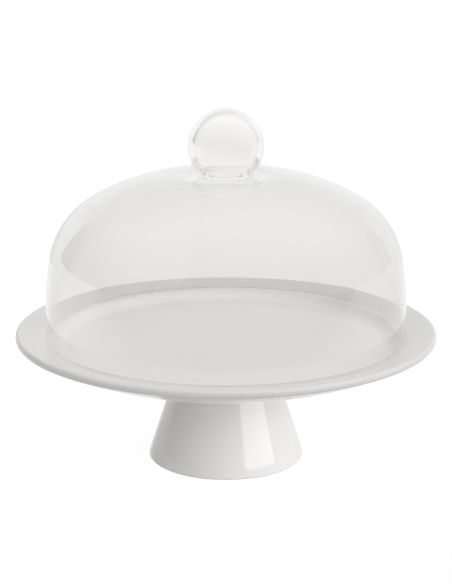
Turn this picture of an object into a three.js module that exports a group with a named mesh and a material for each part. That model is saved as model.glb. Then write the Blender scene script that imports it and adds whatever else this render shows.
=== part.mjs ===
// A footed porcelain cake stand under a clear glass dome with a hollow ball knob.
// Millimetres, +Z up. The origin is the centre of the foot, on the surface that the stand rests on.
// Every piece is a solid of revolution about the Z axis.

import * as THREE from 'three';

const DEGREE = Math.PI / 180;

// All pieces share one segment count and one start angle, so that their facets meet along the seams.
const SEGMENTS = 48;

// Pedestal: a hollow cone, open below.
const FOOT_RADIUS = 56;
const FOOT_LEAN = 17.9 * DEGREE;
const FOOT_EDGE_OUTER = 2;
const FOOT_EDGE_INNER = 0.75;
const PEDESTAL_HEIGHT = 71.75;
const PEDESTAL_WALL = 7;

// Ring of fired slip in the corner between the pedestal and the plate.
const LUTING_WIDTH = 1.5;

// Plate: a flat well inside a rim that slopes up outwards, on a bowl-shaped underside.
const PLATE_RADIUS = 150;
const PLATE_HEIGHT = 24.5;
const RIM_EDGE_TOP = 2.4;
const RIM_EDGE_BOTTOM = 2.4;
const RIM_SLOPE = 12.3 * DEGREE;
const WELL_RADIUS = 125.5;
const WELL_FLOOR = 13.5;
const WELL_SLOPE = 42 * DEGREE;
const WELL_SHOULDER = 4;
const WELL_FILLET = 14;
const BOWL_RADIUS = 102.5;
const BOWL_SLOPE = 16.5 * DEGREE;
const BOWL_CORNER = 20;
const BOWL_CURVE = 255;

// Dome: the crown is flat under the knob. From there a chain of arcs leads down to the foot of the wall.
// Each arc ends where the glass slopes down by its slope, and an arc with a negative radius is hollow.
const DOME_SEAT = 92.1;
const CROWN_FLAT_RADIUS = 20.95;
const CROWN_FLAT_HEIGHT = 114.68;
const DOME_ARCS = [
  { radius: -31.2, slope: -9 * DEGREE, steps: 2 },
  { radius: 60, slope: 10.3 * DEGREE, steps: 3 },
  { radius: 162, slope: 29.4 * DEGREE, steps: 4 },
  { radius: 57.2, slope: 81.1 * DEGREE, steps: 9 },
  { radius: 301, slope: 90 * DEGREE, steps: 2 },
];
const DOME_WALL = 2.2;

// Knob: a hollow ball, cut flat where it stands on the crown. Its hollow is open below.
const KNOB_RADIUS = 26.8;
const KNOB_WALL = 4;
const KNOB_CENTRE = 134.5;

// Collar: the ring of glass that fills the corner between the knob and the crown.
const COLLAR_BEND = 0.8;

// How many straight steps stand for each of the other arcs in the profiles.
const STEPS = {
  footOuter: 4,
  footInner: 3,
  bowlCorner: 3,
  bowlCurve: 5,
  rimUnder: 3,
  rimTop: 4,
  wellShoulder: 2,
  wellFillet: 4,
  domeFoot: 6,
  collar: 3,
  ballOutside: 12,
  ballInside: 10,
};

const PORCELAIN = { color: 0xf1f0ee, roughness: 0.12, metalness: 0 };
const FIRED_SLIP = { color: 0xedecea, roughness: 0.2, metalness: 0 };
const GLASS = { color: 0xf4f7f7, roughness: 0.03, metalness: 0, transparent: true, opacity: 0.3 };

const point = (radius, height) => new THREE.Vector2(radius, height);

// Points on an arc, both ends included. Angles are from +radius towards +height.
function arc(centre, radius, from, to, steps) {
  return Array.from({ length: steps + 1 }, (_, i) => {
    const angle = from + ((to - from) * i) / steps;
    return point(centre.x + radius * Math.cos(angle), centre.y + radius * Math.sin(angle));
  });
}

// Turns a profile, in order with the solid on its left, into a solid standing on Z.
function turned(name, profile, finish) {
  const geometry = new THREE.LatheGeometry(profile, SEGMENTS);
  geometry.rotateX(Math.PI / 2);
  const mesh = new THREE.Mesh(geometry, new THREE.MeshStandardMaterial(finish));
  mesh.name = name;
  return mesh;
}

const closed = (profile) => [...profile, profile[0].clone()];

const pedestalRadius = (height) => FOOT_RADIUS - (height - FOOT_EDGE_OUTER) * Math.tan(FOOT_LEAN);

function pedestal() {
  const wall = PEDESTAL_WALL / Math.cos(FOOT_LEAN);
  const outerEdge = point(FOOT_RADIUS - FOOT_EDGE_OUTER, FOOT_EDGE_OUTER);
  const innerEdge = point(pedestalRadius(0) - wall + FOOT_EDGE_INNER, FOOT_EDGE_INNER);
  return turned('pedestal', closed([
    ...arc(outerEdge, FOOT_EDGE_OUTER, -Math.PI / 2, 0, STEPS.footOuter),
    point(pedestalRadius(PEDESTAL_HEIGHT - LUTING_WIDTH), PEDESTAL_HEIGHT - LUTING_WIDTH),
    point(pedestalRadius(PEDESTAL_HEIGHT), PEDESTAL_HEIGHT),
    point(pedestalRadius(PEDESTAL_HEIGHT) - wall, PEDESTAL_HEIGHT),
    ...arc(innerEdge, FOOT_EDGE_INNER, -Math.PI, -Math.PI / 2, STEPS.footInner),
  ]), PORCELAIN);
}

function lutingRing() {
  const top = PEDESTAL_HEIGHT;
  return turned('luting_ring', closed([
    point(pedestalRadius(top - LUTING_WIDTH), top - LUTING_WIDTH),
    point(pedestalRadius(top) + LUTING_WIDTH, top),
    point(pedestalRadius(top), top),
  ]), FIRED_SLIP);
}

function plate() {
  const bowlStart = BOWL_RADIUS - BOWL_CORNER * Math.sin(BOWL_SLOPE);
  const cornerCentre = point(bowlStart, BOWL_CORNER);
  const bowlCorner = arc(cornerCentre, BOWL_CORNER, -Math.PI / 2, BOWL_SLOPE - Math.PI / 2, STEPS.bowlCorner);
  const bowlEnd = bowlCorner.at(-1);
  const bowlCentre = point(
    bowlEnd.x - BOWL_CURVE * Math.sin(BOWL_SLOPE),
    bowlEnd.y + BOWL_CURVE * Math.cos(BOWL_SLOPE),
  );
  const edgeBottomRadius = PLATE_RADIUS - RIM_EDGE_BOTTOM;
  const rimUnderSlope = Math.asin((edgeBottomRadius - bowlCentre.x) / BOWL_CURVE);
  const bowlAngles = [BOWL_SLOPE - Math.PI / 2, rimUnderSlope - Math.PI / 2];
  const bowl = arc(bowlCentre, BOWL_CURVE, ...bowlAngles, STEPS.bowlCurve);
  const edgeBottom = point(edgeBottomRadius, bowl.at(-1).y + RIM_EDGE_BOTTOM);
  const edgeTop = point(PLATE_RADIUS - RIM_EDGE_TOP, PLATE_HEIGHT - RIM_EDGE_TOP);

  const shoulderTop = PLATE_HEIGHT - (edgeTop.x - WELL_RADIUS) * Math.tan(RIM_SLOPE);
  const shoulderCentre = point(
    WELL_RADIUS + WELL_SHOULDER * Math.sin(RIM_SLOPE),
    shoulderTop - WELL_SHOULDER * Math.cos(RIM_SLOPE),
  );
  const shoulderAngles = [Math.PI / 2 + RIM_SLOPE, Math.PI / 2 + WELL_SLOPE];
  const shoulder = arc(shoulderCentre, WELL_SHOULDER, ...shoulderAngles, STEPS.wellShoulder);
  const filletTop = WELL_FLOOR + WELL_FILLET * (1 - Math.cos(WELL_SLOPE));
  const filletTopRadius = shoulder.at(-1).x - (shoulder.at(-1).y - filletTop) / Math.tan(WELL_SLOPE);
  const filletCentre = point(
    filletTopRadius - WELL_FILLET * Math.sin(WELL_SLOPE),
    WELL_FLOOR + WELL_FILLET,
  );
  return turned('plate', [
    point(0, 0),
    point(pedestalRadius(PEDESTAL_HEIGHT), 0),
    ...bowlCorner,
    ...bowl.slice(1),
    ...arc(edgeBottom, RIM_EDGE_BOTTOM, -Math.PI / 2, 0, STEPS.rimUnder).slice(1),
    ...arc(edgeTop, RIM_EDGE_TOP, 0, Math.PI / 2, STEPS.rimTop),
    ...shoulder,
    ...arc(filletCentre, WELL_FILLET, WELL_SLOPE - Math.PI / 2, -Math.PI / 2, STEPS.wellFillet),
    point(0, WELL_FLOOR),
  ], PORCELAIN);
}

// The dome's outside and inside as profiles, each listed from the flat down to the foot of the wall.
function domeProfiles() {
  let at = point(CROWN_FLAT_RADIUS, CROWN_FLAT_HEIGHT);
  let slope = 0;
  const outside = [at];
  const inside = [point(at.x, at.y - DOME_WALL)];
  for (const next of DOME_ARCS) {
    const turn = (next.slope - slope) / next.steps;
    for (let step = 0; step < next.steps; step += 1) {
      const lean = slope + turn;
      at = point(
        at.x + next.radius * (Math.sin(lean) - Math.sin(slope)),
        at.y + next.radius * (Math.cos(lean) - Math.cos(slope)),
      );
      outside.push(at);
      inside.push(point(at.x - DOME_WALL * Math.sin(lean), at.y - DOME_WALL * Math.cos(lean)));
      slope = lean;
    }
  }
  return { outside, inside };
}

const ballRadiusAt = (radius, height) => Math.sqrt(radius ** 2 - (height - KNOB_CENTRE) ** 2);

// The centre of the collar's hollow face, which is tangent to the crown and to the ball.
const bendHeight = CROWN_FLAT_HEIGHT + COLLAR_BEND;
const bendCentre = point(ballRadiusAt(KNOB_RADIUS + COLLAR_BEND, bendHeight), bendHeight);
const bendAngle = Math.atan2(KNOB_CENTRE - bendHeight, -bendCentre.x);

const knobFoot = point(ballRadiusAt(KNOB_RADIUS, CROWN_FLAT_HEIGHT), CROWN_FLAT_HEIGHT);
const knobBore = point(ballRadiusAt(KNOB_RADIUS - KNOB_WALL, CROWN_FLAT_HEIGHT), CROWN_FLAT_HEIGHT);

// The profile runs from the middle of the underside out to the wall, round its foot, back over the crown.
// The crown has a point at each edge of the knob and of the collar.
function domeShell() {
  const { outside, inside } = domeProfiles();
  const wallRadius = outside.at(-1).x;
  const bead = point(wallRadius - DOME_WALL / 2, DOME_WALL / 2);
  return turned('dome_shell', [
    point(0, CROWN_FLAT_HEIGHT - DOME_WALL),
    ...inside.slice(0, -1),
    ...arc(bead, DOME_WALL / 2, -Math.PI, 0, STEPS.domeFoot),
    ...outside.slice(0, -1).reverse(),
    point(bendCentre.x, CROWN_FLAT_HEIGHT),
    knobFoot,
    knobBore,
    point(0, CROWN_FLAT_HEIGHT),
  ], GLASS);
}

function knobCollar() {
  return turned('knob_collar', closed([
    knobFoot,
    ...arc(bendCentre, COLLAR_BEND, -Math.PI / 2, bendAngle - 2 * Math.PI, STEPS.collar),
  ]), GLASS);
}

function knob() {
  const collarEdge = bendAngle - Math.PI;
  const boreAngle = Math.asin((CROWN_FLAT_HEIGHT - KNOB_CENTRE) / (KNOB_RADIUS - KNOB_WALL));
  const centre = point(0, KNOB_CENTRE);
  const outside = arc(centre, KNOB_RADIUS, collarEdge, Math.PI / 2, STEPS.ballOutside);
  const inside = arc(centre, KNOB_RADIUS - KNOB_WALL, Math.PI / 2, boreAngle, STEPS.ballInside);
  // The profile runs from the top of the hollow down the bore, across the flat and up round the outside.
  // Both of its ends are exactly on the axis.
  inside[0].x = 0;
  outside.at(-1).x = 0;
  return turned('knob', [...inside, knobFoot, ...outside], GLASS);
}

const stand = new THREE.Group();
const plateOnPedestal = plate();
plateOnPedestal.position.z = PEDESTAL_HEIGHT;
stand.add(pedestal(), lutingRing(), plateOnPedestal);

const dome = new THREE.Group();
dome.position.z = DOME_SEAT;
dome.add(domeShell(), knobCollar(), knob());

const cakeStand = new THREE.Group();
cakeStand.add(stand, dome);

export default cakeStand;
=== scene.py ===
"""The look of a footed porcelain cake stand under a clear glass dome with a hollow ball knob.

Metres, +Z up, origin at the centre of the foot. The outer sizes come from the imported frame's boxes.
Every piece is turned about Z from an outline of (radius, height) points, with the solid on the left.
"""
import math

import bmesh
import bpy
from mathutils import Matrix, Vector


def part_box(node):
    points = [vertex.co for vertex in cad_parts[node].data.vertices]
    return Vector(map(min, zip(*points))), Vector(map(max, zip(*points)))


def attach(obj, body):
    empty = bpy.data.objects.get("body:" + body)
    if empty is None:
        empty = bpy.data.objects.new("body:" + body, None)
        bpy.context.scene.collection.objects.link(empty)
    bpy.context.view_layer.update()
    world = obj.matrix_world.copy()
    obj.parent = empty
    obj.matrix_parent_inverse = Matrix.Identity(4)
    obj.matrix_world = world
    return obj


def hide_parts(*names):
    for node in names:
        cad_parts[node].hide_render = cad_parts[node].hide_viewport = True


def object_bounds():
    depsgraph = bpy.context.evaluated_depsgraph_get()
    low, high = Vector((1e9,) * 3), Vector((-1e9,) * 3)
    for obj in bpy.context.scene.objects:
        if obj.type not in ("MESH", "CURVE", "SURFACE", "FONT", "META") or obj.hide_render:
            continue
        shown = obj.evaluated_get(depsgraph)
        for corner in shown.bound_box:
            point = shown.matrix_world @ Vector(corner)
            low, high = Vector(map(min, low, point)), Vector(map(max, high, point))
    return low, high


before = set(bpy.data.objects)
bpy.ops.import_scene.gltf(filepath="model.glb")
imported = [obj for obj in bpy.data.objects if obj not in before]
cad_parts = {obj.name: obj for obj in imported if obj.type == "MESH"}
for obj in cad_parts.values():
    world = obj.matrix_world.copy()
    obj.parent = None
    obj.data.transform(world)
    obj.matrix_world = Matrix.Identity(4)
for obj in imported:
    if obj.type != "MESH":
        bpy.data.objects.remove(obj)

cad_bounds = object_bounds()

MM = 0.001
DEGREE = math.pi / 180

# Meshes: facets round the axis, the edges that stay sharp, and the steps along the arcs of an outline
SEGMENTS = 256
SHARP_ANGLE = 32 * DEGREE
ON_AXIS = 1e-9
ARC_STEPS = 12
PEDESTAL_SIDE_STEPS = 8
BOWL_STEPS = 24
DOME_STEPS = 24
DOME_FOOT_STEPS = 16
HOLLOW_STEPS = 48
BALL_STEPS = 64

# Pedestal
FOOT_LEAN = 17.9 * DEGREE
FOOT_EDGE_OUTER = 2 * MM
FOOT_EDGE_INNER = 0.75 * MM
PEDESTAL_WALL = 7 * MM

# Plate
RIM_EDGE = 2.4 * MM
RIM_SLOPE = 12.3 * DEGREE
WELL_RADIUS = 125.5 * MM
WELL_DEPTH = 11 * MM
WELL_SLOPE = 42 * DEGREE
WELL_SHOULDER = 4 * MM
WELL_FILLET = 14 * MM
BOWL_RADIUS = 102.5 * MM
BOWL_SLOPE = 16.5 * DEGREE
BOWL_CORNER = 20 * MM
BOWL_CURVE = 255 * MM

# Dome: arcs from the flat of the crown down to the foot of the wall, each with the slope where it ends.
# An arc with a negative radius is hollow.
CROWN_FLAT_RADIUS = 20.95 * MM
DOME_ARCS = (
    (-31.2 * MM, -9 * DEGREE),
    (60 * MM, 10.3 * DEGREE),
    (162 * MM, 29.4 * DEGREE),
    (57.2 * MM, 81.1 * DEGREE),
    (301 * MM, 90 * DEGREE),
)
DOME_WALL = 2.2 * MM

# Knob
KNOB_WALL = 4 * MM
COLLAR_BEND = 0.8 * MM

# Noise is cut to this range before it is spread over a range of tones
NOISE_RANGE = (0.3, 0.7)

# A warm tone loses this share of its lost blue in green too
GREEN_LOSS = 0.4

# Porcelain: painted shade makes the rim's colour darker than the well and the pedestal, standing in for the
# well's brighter reflections of the surroundings, and the change is a band at the well's edge
GLAZE_TONES = (0.78, 0.80)
GLAZE_CAST = 0.026
GLAZE_ROUGHNESS = (0.05, 0.09)
GRAIN_SHARE = 0.05
RIM_PAINTED_SHADE = 0.14
RIM_PAINTED_SHADE_FROM = WELL_RADIUS - 6 * MM
RIM_PAINTED_SHADE_TO = WELL_RADIUS + 3 * MM

# The other surfaces of the porcelain, each from its darkest to its palest tone
BARE_TONES = ((0.66, 0.645, 0.62, 1), (0.74, 0.73, 0.71, 1))
SLIP_TONES = ((0.75, 0.75, 0.745, 1), (0.79, 0.79, 0.785, 1))

# Glass: after this many bounces light passes straight on, instead of being lost inside
GLASS_REACH = 3
GLASS_CAST = 0.012
GLASS_VARIATION = 0.004
GLASS_EDGE_POWER = 4.0
REFRACTION = 1.5

# Floor: half its width, how much of it glows, its tone, and where it grows dim towards the camera
FLOOR_HALF = 12.0
FLOOR_GLOW = 0.85
FLOOR_TONES = (0.70, 0.72)
FLOOR_DIM_AT = -0.5
FLOOR_DIMMEST = 0.3

# How bright the studio's white is to the camera, and how bright otherwise
CAMERA_LEVEL = 1.1
WHITE_LEVEL = 0.98

# Surround: brightness by direction, with a screen that only reflections and the glass show, and a lobe
# that is only in the light it throws
FRONT_LEVEL, BACK_LEVEL = 0.25, 0.55
FRONT_FROM, BACK_FROM = -0.5, 0.3
TOP_LEVEL = 0.52
TOP_FROM = 0.3
SIDE_LEVEL = 0.2
SCREEN_EDGE = (0.69, 0.73)
SCREEN_FADE = (0.25, 0.7)
LOBE_LEVEL = 1.1
LOBE_AIM = (0.2, -0.92, 0.34)
LOBE_POWER = 3.0

# Softboxes
SOFTBOX_DISTANCE = 1.8
SOFTBOX_WIDTH = 1.64
SOFTBOX_HEIGHT = 0.95

# Camera: sensor and lens in millimetres, place in metres, pitch in degrees below level
SENSOR = 36
LENS = 98.2
CAMERA_PLACE = (0, -1.1, 0.4095)
CAMERA_PITCH = 14.66
CAMERA_RANGE = (0.05, 60)
BOUNCES = 24


# ---------------------------------------------------------------- outlines

def arc(centre, radius, start, end, steps=ARC_STEPS):
    """Points on an arc, both ends included. Angles are from +radius towards +height."""
    angles = [start + (end - start) * i / steps for i in range(steps + 1)]
    return [(centre[0] + radius * math.cos(a), centre[1] + radius * math.sin(a)) for a in angles]


def turned(name, stretches, materials):
    """Turns an outline about Z into a closed mesh object.

    stretches is a list of (material index, points). The faces that arrive at a point take its stretch's
    material, and the outline closes on itself, unless both of its ends are on the axis.
    """
    points = [(slot, r, h) for slot, stretch in stretches for r, h in stretch]
    turns = [2 * math.pi * i / SEGMENTS for i in range(SEGMENTS)]
    bm = bmesh.new()
    rings = []
    for _, radius, height in points:
        if radius < ON_AXIS:
            rings.append([bm.verts.new((0, 0, height))] * SEGMENTS)
            continue
        rings.append([bm.verts.new((radius * math.cos(a), radius * math.sin(a), height)) for a in turns])
    open_ended = points[0][1] < ON_AXIS and points[-1][1] < ON_AXIS
    for i in range(1 if open_ended else 0, len(rings)):
        before, after = rings[i - 1], rings[i]
        for k in range(SEGMENTS):
            following = (k + 1) % SEGMENTS
            corners = [before[k], before[following], after[following], after[k]]
            face = bm.faces.new(dict.fromkeys(corners))
            face.material_index = points[i][0]
            face.smooth = True
    bmesh.ops.recalc_face_normals(bm, faces=bm.faces)
    mesh = bpy.data.meshes.new(name)
    bm.to_mesh(mesh)
    bm.free()
    mesh.set_sharp_from_angle(angle=SHARP_ANGLE)
    for material in materials:
        mesh.materials.append(material)
    piece = bpy.data.objects.new(name, mesh)
    bpy.context.scene.collection.objects.link(piece)
    return piece


def stands_for(piece, node, body):
    """Hides the CAD node that a piece stands for, and makes the piece move with the node's body."""
    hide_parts(node)
    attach(piece, body)
    return piece


# ---------------------------------------------------------------- materials

class Shader:
    """The nodes of a material or of the world, under construction."""

    def __init__(self, owner, output):
        owner.use_nodes = True
        self.owner = owner
        self.nodes = owner.node_tree.nodes
        self.links = owner.node_tree.links
        self.nodes.clear()
        self.output = self.add(output)

    def add(self, kind, settings=None, **inputs):
        """Adds a node. Settings are its own properties, and inputs are values or other nodes' outputs.

        An input goes by its label, with _ for a space, or by i and its number.
        """
        node = self.nodes.new(kind)
        for key, value in (settings or {}).items():
            setattr(node, key, value)
        for key, value in inputs.items():
            numbered = key[0] == "i" and key[1:].isdigit()
            socket = node.inputs[int(key[1:]) if numbered else key.replace("_", " ")]
            if isinstance(value, bpy.types.NodeSocket):
                self.links.new(value, socket)
            else:
                socket.default_value = value
        return node

    def surface(self, socket):
        """Makes a shader the final one, and gives back the finished material or world."""
        self.links.new(socket, self.output.inputs["Surface"])
        return self.owner

    def position(self):
        return self.add("ShaderNodeTexCoord").outputs["Object"]

    def noise(self, scale, detail):
        node = self.add("ShaderNodeTexNoise", Vector=self.position(), Scale=scale, Detail=detail)
        return node.outputs["Fac"]

    def spread(self, value, low, high, out_low, out_high):
        """Maps low..high to out_low..out_high, and holds the ends."""
        node = self.add("ShaderNodeMapRange", i0=value, i1=low, i2=high, i3=out_low, i4=out_high)
        return node.outputs["Result"]

    def varied(self, scale, detail, least=0.0, most=1.0):
        """A number that drifts over the surface between least and most."""
        return self.spread(self.noise(scale, detail), *NOISE_RANGE, least, most)

    def maths(self, operation, a, b):
        return self.add("ShaderNodeMath", {"operation": operation}, i0=a, i1=b).outputs["Value"]

    def vector(self, operation, a, output, **others):
        node = self.add("ShaderNodeVectorMath", {"operation": operation}, i0=a, **others)
        return node.outputs[output]

    def mixed(self, share, low, high):
        """A number between low and high."""
        return self.add("ShaderNodeMix", {"data_type": "FLOAT"}, i0=share, i2=low, i3=high).outputs[0]

    def blended(self, share, low, high):
        """A colour between low and high."""
        return self.add("ShaderNodeMix", {"data_type": "RGBA"}, i0=share, i6=low, i7=high).outputs[2]

    def bumps(self, height, strength, distance):
        """A normal that is disturbed by a height."""
        node = self.add("ShaderNodeBump", Height=height, Strength=strength, Distance=distance)
        return node.outputs["Normal"]

    def principled(self, **inputs):
        return self.add("ShaderNodeBsdfPrincipled", **inputs).outputs["BSDF"]

    def straight_through(self):
        return self.add("ShaderNodeBsdfTransparent", Color=grey(1.0)).outputs["BSDF"]

    def shared(self, share, first, second):
        """Two shaders, of which the second has the share."""
        return self.add("ShaderNodeMixShader", i0=share, i1=first, i2=second).outputs["Shader"]

    def path(self):
        """The kind of ray that looks. One that has been through the glass counts as glossy too."""
        return self.add("ShaderNodeLightPath").outputs


def new_material(name):
    return Shader(bpy.data.materials.new(name), "ShaderNodeOutputMaterial")


def grey(value):
    return (value, value, value, 1)


def warm(value, cast):
    """A pale tone that lacks a little green and more blue."""
    return (value, value * (1 - GREEN_LOSS * cast), value * (1 - cast), 1)


def glazed_porcelain(name, shine):
    """White body under a clear glaze: slow tone changes, painted shade that darkens the rim, and a faint
    ripple in the gloss.
    """
    s = new_material(name)
    darkest, palest = (warm(tone, GLAZE_CAST) for tone in GLAZE_TONES)
    even = s.blended(s.varied(scale=9, detail=3), darkest, palest)
    level = s.vector("MULTIPLY", s.position(), "Vector", i1=(1, 1, 0))
    radius = s.vector("LENGTH", level, "Value")
    # painted shade: the base colour is darkened towards black beyond the well's edge
    painted_rim_shade = s.spread(radius, RIM_PAINTED_SHADE_FROM, RIM_PAINTED_SHADE_TO, 0.0, RIM_PAINTED_SHADE)
    grain = s.maths("MULTIPLY", s.noise(scale=900, detail=2), GRAIN_SHARE)
    height = s.maths("ADD", s.noise(scale=70, detail=1), grain)
    return s.surface(s.principled(
        Base_Color=s.blended(painted_rim_shade, even, grey(0.0)),
        Roughness=s.varied(35, 3, *GLAZE_ROUGHNESS),
        IOR=REFRACTION,
        Specular_IOR_Level=shine,
        Normal=s.bumps(height, strength=0.03, distance=1 * MM),
    ))


def bare_porcelain():
    """The unglazed ring under the foot, ground flat after firing."""
    s = new_material("bare_porcelain")
    return s.surface(s.principled(
        Base_Color=s.blended(s.varied(scale=160, detail=4), *BARE_TONES),
        Roughness=0.75,
        Normal=s.bumps(s.noise(scale=2200, detail=3), strength=0.25, distance=0.4 * MM),
    ))


def fired_slip():
    """Slip that joined the pedestal to the plate, fired under the same glaze."""
    s = new_material("fired_slip")
    return s.surface(s.principled(
        Base_Color=s.blended(s.varied(scale=60, detail=3), *SLIP_TONES),
        Roughness=0.16,
        Normal=s.bumps(s.noise(scale=240, detail=2), strength=0.15, distance=1 * MM),
    ))


def clear_glass(name, tint, edge_loss):
    """Blown glass with a faint ripple, darker where it is seen edge on.

    It casts no shadow. Rays that leave a diffuse surface go straight through it, and so do rays that have
    bounced more than GLASS_REACH times.
    """
    s = new_material(name)
    darkest, palest = warm(tint - GLASS_VARIATION, GLASS_CAST), warm(tint + GLASS_VARIATION, GLASS_CAST)
    clear = s.blended(s.varied(scale=7, detail=2), darkest, palest)
    facing = s.add("ShaderNodeLayerWeight", Blend=0.5).outputs["Facing"]
    loss = s.maths("MULTIPLY", s.maths("POWER", facing, GLASS_EDGE_POWER), edge_loss)
    glass = s.principled(
        Base_Color=s.blended(loss, clear, grey(0.0)),
        Roughness=0.0,
        IOR=REFRACTION,
        Transmission_Weight=1.0,
        Normal=s.bumps(s.noise(scale=22, detail=1), strength=0.02, distance=1 * MM),
    )
    path = s.path()
    passing = s.maths("MAXIMUM", path["Is Shadow Ray"], path["Is Diffuse Ray"])
    passing = s.maths("MAXIMUM", passing, s.maths("GREATER_THAN", path["Ray Depth"], GLASS_REACH))
    return s.surface(s.shared(passing, glass, s.straight_through()))


def fused_seam():
    """Where two glass pieces are fused there is no surface, so light goes on inside the glass."""
    s = new_material("fused_seam")
    return s.surface(s.straight_through())


# ---------------------------------------------------------------- porcelain stand

def pedestal(glaze, bare):
    """A hollow cone. Only the flat ring that it stands on is bare."""
    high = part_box("pedestal")[1]
    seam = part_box("luting_ring")[0].z
    wall = PEDESTAL_WALL / math.cos(FOOT_LEAN)

    def radius(height):
        return high.x - (height - FOOT_EDGE_OUTER) * math.tan(FOOT_LEAN)

    outer_edge = (high.x - FOOT_EDGE_OUTER, FOOT_EDGE_OUTER)
    inner_edge = (radius(0) - wall + FOOT_EDGE_INNER, FOOT_EDGE_INNER)
    foot = arc(outer_edge, FOOT_EDGE_OUTER, -math.pi / 2, 0)
    rise = (seam - FOOT_EDGE_OUTER) / PEDESTAL_SIDE_STEPS
    heights = [FOOT_EDGE_OUTER + rise * i for i in range(1, PEDESTAL_SIDE_STEPS + 1)] + [high.z]
    side = [(radius(height), height) for height in heights]
    inside = [(radius(high.z) - wall, high.z)] + arc(inner_edge, FOOT_EDGE_INNER, -math.pi, -math.pi / 2)
    piece = turned("pedestal_glazed", [(1, foot[:1]), (0, foot[1:] + side + inside)], [glaze, bare])
    return stands_for(piece, "pedestal", "stand")


def luting_ring(slip):
    """Fills the corner between the pedestal and the plate."""
    low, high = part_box("luting_ring")
    width = high.z - low.z
    inner = high.x - width
    foot = inner + width * math.tan(FOOT_LEAN)
    piece = turned("luting_fillet", [(0, [(foot, low.z), (high.x, high.z), (inner, high.z)])], [slip])
    return stands_for(piece, "luting_ring", "stand")


def plate_underside(low, top, edge_radius):
    """From the middle of the underside out to the upper end of the rim's edge."""
    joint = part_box("luting_ring")[1].x
    corner_centre = (BOWL_RADIUS - BOWL_CORNER * math.sin(BOWL_SLOPE), low + BOWL_CORNER)
    corner = arc(corner_centre, BOWL_CORNER, -math.pi / 2, BOWL_SLOPE - math.pi / 2)
    bowl_centre = (
        corner[-1][0] - BOWL_CURVE * math.sin(BOWL_SLOPE),
        corner[-1][1] + BOWL_CURVE * math.cos(BOWL_SLOPE),
    )
    end_slope = math.asin((edge_radius - bowl_centre[0]) / BOWL_CURVE)
    bowl = arc(bowl_centre, BOWL_CURVE, BOWL_SLOPE - math.pi / 2, end_slope - math.pi / 2, BOWL_STEPS)
    edge_low = arc((edge_radius, bowl[-1][1] + RIM_EDGE), RIM_EDGE, -math.pi / 2, 0)
    edge_high = arc((edge_radius, top - RIM_EDGE), RIM_EDGE, 0, math.pi / 2)
    return [(0, low), (joint, low)] + corner + bowl[1:] + edge_low[1:] + edge_high


def plate_well(top, edge_radius):
    """From the well's shoulder down to the middle of its floor."""
    shoulder_top = top - (edge_radius - WELL_RADIUS) * math.tan(RIM_SLOPE)
    shoulder_centre = (
        WELL_RADIUS + WELL_SHOULDER * math.sin(RIM_SLOPE),
        shoulder_top - WELL_SHOULDER * math.cos(RIM_SLOPE),
    )
    shoulder = arc(shoulder_centre, WELL_SHOULDER, math.pi / 2 + RIM_SLOPE, math.pi / 2 + WELL_SLOPE)
    floor = top - WELL_DEPTH
    fillet_top = floor + WELL_FILLET * (1 - math.cos(WELL_SLOPE))
    fillet_radius = shoulder[-1][0] - (shoulder[-1][1] - fillet_top) / math.tan(WELL_SLOPE)
    fillet_centre = (fillet_radius - WELL_FILLET * math.sin(WELL_SLOPE), floor + WELL_FILLET)
    fillet = arc(fillet_centre, WELL_FILLET, WELL_SLOPE - math.pi / 2, -math.pi / 2)
    return shoulder + fillet + [(0, floor)]


def plate(glaze):
    """A flat well inside a rim that slopes up outwards, on a bowl-shaped underside."""
    low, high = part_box("plate")
    edge_radius = high.x - RIM_EDGE
    outline = plate_underside(low.z, high.z, edge_radius) + plate_well(high.z, edge_radius)
    piece = turned("plate_glazed", [(0, outline)], [glaze])
    return stands_for(piece, "plate", "stand")


# ---------------------------------------------------------------- glass dome

def dome_outlines(flat_height):
    """The dome's outside and inside, each from the edge of the flat down to the foot of the wall."""
    radius, height, slope = CROWN_FLAT_RADIUS, flat_height, 0
    outside, inside = [(radius, height)], [(radius, height - DOME_WALL)]
    for bend, next_slope in DOME_ARCS:
        turn = (next_slope - slope) / DOME_STEPS
        for _ in range(DOME_STEPS):
            lean = slope + turn
            radius += bend * (math.sin(lean) - math.sin(slope))
            height += bend * (math.cos(lean) - math.cos(slope))
            outside.append((radius, height))
            inside.append((radius - DOME_WALL * math.sin(lean), height - DOME_WALL * math.cos(lean)))
            slope = lean
    return outside, inside


class KnobSizes:
    """Where the ball, its hollow and the collar meet the flat of the crown."""

    def __init__(self):
        low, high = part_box("knob")
        self.flat = low.z
        self.radius = high.x
        self.hollow_radius = self.radius - KNOB_WALL
        self.centre = high.z - high.x
        self.foot = self.radius_at(self.radius, self.flat)
        self.bore = self.radius_at(self.hollow_radius, self.flat)
        bend_height = self.flat + COLLAR_BEND
        self.bend = (self.radius_at(self.radius + COLLAR_BEND, bend_height), bend_height)
        self.bend_angle = math.atan2(self.centre - bend_height, -self.bend[0])

    def radius_at(self, ball_radius, height):
        return math.sqrt(ball_radius ** 2 - (height - self.centre) ** 2)


def dome_shell(sizes, glass, seam, painted_shade_foot_glass):
    """The dome, with a seam in its crown under the knob, and glass round its foot tinted darker as painted
    shade for its contact shadow and the light trapped in the foot.
    """
    low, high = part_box("dome_shell")
    outside, inside = dome_outlines(sizes.flat)
    bead_radius = DOME_WALL / 2
    bead_centre = (high.x - bead_radius, low.z + bead_radius)
    bead = arc(bead_centre, bead_radius, -math.pi, 0, DOME_FOOT_STEPS)
    underside = [(0, sizes.flat - DOME_WALL)] + inside[:-1]
    crown = outside[-2::-1] + [(sizes.bend[0], sizes.flat)]
    stretches = [
        (0, underside + bead[:1]),
        # the bead at the foot takes the darker glass: painted shade
        (2, bead[1:]),
        (0, crown),
        (1, [(sizes.foot, sizes.flat), (sizes.bore, sizes.flat)]),
        (0, [(0, sizes.flat)]),
    ]
    piece = turned("dome_bell", stretches, [glass, seam, painted_shade_foot_glass])
    return stands_for(piece, "dome_shell", "dome")


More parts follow.
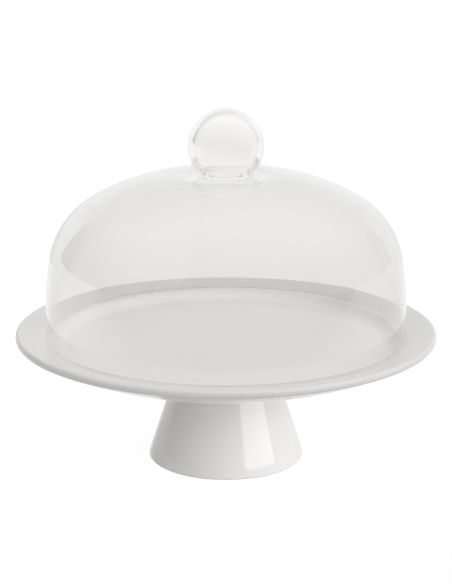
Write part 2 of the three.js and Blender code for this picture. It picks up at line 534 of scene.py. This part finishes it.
def knob_collar(sizes, glass, seam):
    """The ring of glass in the corner between the knob and the crown. Only its hollow face is a surface."""
    face = arc(sizes.bend, COLLAR_BEND, -math.pi / 2, sizes.bend_angle - 2 * math.pi)
    stretches = [(1, [(sizes.foot, sizes.flat), face[0]]), (0, face[1:])]
    piece = turned("collar_fused", stretches, [glass, seam])
    return stands_for(piece, "knob_collar", "dome")


def knob(sizes, glass, seam):
    """A hollow ball, with seams where it stands on the crown and where the collar touches it."""
    centre = (0, sizes.centre)
    bore_angle = math.asin((sizes.flat - sizes.centre) / sizes.hollow_radius)
    inside = arc(centre, sizes.hollow_radius, math.pi / 2, bore_angle, HOLLOW_STEPS)
    outside = arc(centre, sizes.radius, sizes.bend_angle - math.pi, math.pi / 2, BALL_STEPS)
    inside[0] = (0, inside[0][1])
    outside[-1] = (0, outside[-1][1])
    stretches = [(0, inside), (1, [(sizes.foot, sizes.flat), outside[0]]), (0, outside[1:])]
    piece = turned("ball_knob", stretches, [glass, seam])
    return stands_for(piece, "knob", "dome")


# ---------------------------------------------------------------- studio

def floor_material():
    """White to the camera.

    In reflections, through the glass and in the light it throws, the floor grows dim towards the camera.
    """
    s = new_material("studio_floor")
    along = s.add("ShaderNodeSeparateXYZ", i0=s.position()).outputs["Y"]
    lit = s.spread(along, FLOOR_DIM_AT, 0.0, FLOOR_DIMMEST, 1.0)
    tone = s.maths("MULTIPLY", s.varied(3, 2, *FLOOR_TONES), lit)
    body = s.principled(Base_Color=s.blended(tone, grey(0.0), grey(1.0)), Roughness=0.9)
    path = s.path()
    mirrored = s.maths("MULTIPLY", lit, WHITE_LEVEL)
    level = s.mixed(path["Is Glossy Ray"], WHITE_LEVEL, mirrored)
    level = s.mixed(path["Is Camera Ray"], level, CAMERA_LEVEL)
    glow = s.add("ShaderNodeEmission", Color=grey(1.0), Strength=level).outputs["Emission"]
    share = s.maths("MULTIPLY", s.maths("SUBTRACT", 1.0, path["Is Diffuse Ray"]), FLOOR_GLOW)
    return s.surface(s.shared(share, body, glow))


def studio_floor():
    """A level square under the foot."""
    mesh = bpy.data.meshes.new("studio_floor")
    corners = [(x * FLOOR_HALF, y * FLOOR_HALF, 0) for x, y in ((-1, -1), (1, -1), (1, 1), (-1, 1))]
    mesh.from_pydata(corners, [], [(0, 1, 2, 3)])
    mesh.materials.append(floor_material())
    floor = bpy.data.objects.new("studio_floor", mesh)
    bpy.context.scene.collection.objects.link(floor)
    return floor


def studio_surround():
    """A pale tent, white to the camera.

    In reflections and through the glass it is brighter to the back, the top and the right, with a white
    screen low down behind. The light that it throws has no screen, but a broad lobe from the front.
    """
    world = bpy.data.worlds.new("studio_surround")
    bpy.context.scene.world = world
    s = Shader(world, "ShaderNodeOutputWorld")
    vector = s.add("ShaderNodeTexCoord").outputs["Generated"]
    direction = s.add("ShaderNodeSeparateXYZ", i0=vector).outputs
    depth = s.spread(direction["Y"], FRONT_FROM, BACK_FROM, FRONT_LEVEL, BACK_LEVEL)
    side = s.spread(direction["X"], -1.0, 1.0, -SIDE_LEVEL, SIDE_LEVEL)
    top = s.spread(direction["Z"], TOP_FROM, 1.0, 0.0, TOP_LEVEL)
    lit = s.maths("ADD", s.maths("ADD", depth, side), top)
    behind = s.spread(direction["Y"], *SCREEN_EDGE, 0.0, 1.0)
    low_down = s.spread(direction["Z"], *SCREEN_FADE, 1.0, 0.0)
    mirrored = s.mixed(s.maths("MULTIPLY", behind, low_down), lit, WHITE_LEVEL)
    aim = s.vector("DOT_PRODUCT", vector, "Value", i1=LOBE_AIM)
    lobe = s.maths("MULTIPLY", s.maths("POWER", s.maths("MAXIMUM", aim, 0.0), LOBE_POWER), LOBE_LEVEL)
    path = s.path()
    strength = s.mixed(path["Is Camera Ray"], WHITE_LEVEL, CAMERA_LEVEL)
    strength = s.mixed(path["Is Glossy Ray"], strength, mirrored)
    strength = s.mixed(path["Is Diffuse Ray"], strength, s.maths("ADD", lit, lobe))
    background = s.add("ShaderNodeBackground", Color=grey(1.0), Strength=strength)
    s.surface(background.outputs["Background"])


def softbox(name, azimuth, elevation, power, receivers):
    """A rectangular light aimed at the middle of the object, reaching only the receivers.

    Azimuth is from -Y towards +X, in degrees.
    """
    light = bpy.data.lights.new(name, "AREA")
    light.shape = "RECTANGLE"
    light.size, light.size_y = SOFTBOX_WIDTH, SOFTBOX_HEIGHT
    light.energy = power
    lamp = bpy.data.objects.new(name, light)
    a, e = azimuth * DEGREE, elevation * DEGREE
    towards = Vector((math.sin(a) * math.cos(e), -math.cos(a) * math.cos(e), math.sin(e)))
    lamp.location = Vector((0, 0, cad_bounds[1].z / 2)) + towards * SOFTBOX_DISTANCE
    lamp.rotation_euler = towards.to_track_quat("Z", "Y").to_euler()
    bpy.context.scene.collection.objects.link(lamp)
    reached = bpy.data.collections.new(name + "_receivers")
    for piece in receivers:
        reached.objects.link(piece)
    lamp.light_linking.receiver_collection = reached


def camera():
    """Looks along +Y and down on the dome."""
    data = bpy.data.cameras.new("camera")
    data.sensor_width = SENSOR
    data.lens = LENS
    data.clip_start, data.clip_end = CAMERA_RANGE
    eye = bpy.data.objects.new("camera", data)
    eye.location = CAMERA_PLACE
    eye.rotation_euler = ((90 - CAMERA_PITCH) * DEGREE, 0, 0)
    bpy.context.scene.collection.objects.link(eye)
    bpy.context.scene.camera = eye


def light_settings():
    """Enough bounces for the layers of glass, and tones as they are."""
    scene = bpy.context.scene
    scene.view_settings.view_transform = "Standard"
    scene.cycles.max_bounces = BOUNCES
    scene.cycles.transmission_bounces = BOUNCES
    scene.cycles.transparent_max_bounces = BOUNCES
    scene.cycles.caustics_reflective = False
    scene.cycles.caustics_refractive = False


pedestal_piece = pedestal(glazed_porcelain("glazed_pedestal", shine=0.5), bare_porcelain())
luting_piece = luting_ring(fired_slip())
plate_piece = plate(glazed_porcelain("glazed_plate", shine=0.3))

seam = fused_seam()
bell_glass = clear_glass("bell_glass", tint=0.94, edge_loss=0.3)
# painted shade: the glass round the dome's foot is tinted much darker, standing in for its contact shadow
# and the light trapped inside the foot
painted_shade_foot_glass = clear_glass("painted_shade_foot_glass", tint=0.72, edge_loss=0.3)
knob_glass = clear_glass("knob_glass", tint=0.995, edge_loss=0.35)
knob_sizes = KnobSizes()
dome_shell(knob_sizes, bell_glass, seam, painted_shade_foot_glass)
knob_collar(knob_sizes, knob_glass, seam)
knob(knob_sizes, knob_glass, seam)

floor = studio_floor()
studio_surround()
key_lit = [pedestal_piece, luting_piece, floor]
softbox("key_softbox", azimuth=53.5, elevation=14, power=14, receivers=key_lit)
softbox("plate_softbox", azimuth=50, elevation=16, power=7, receivers=[plate_piece])
camera()
light_settings()
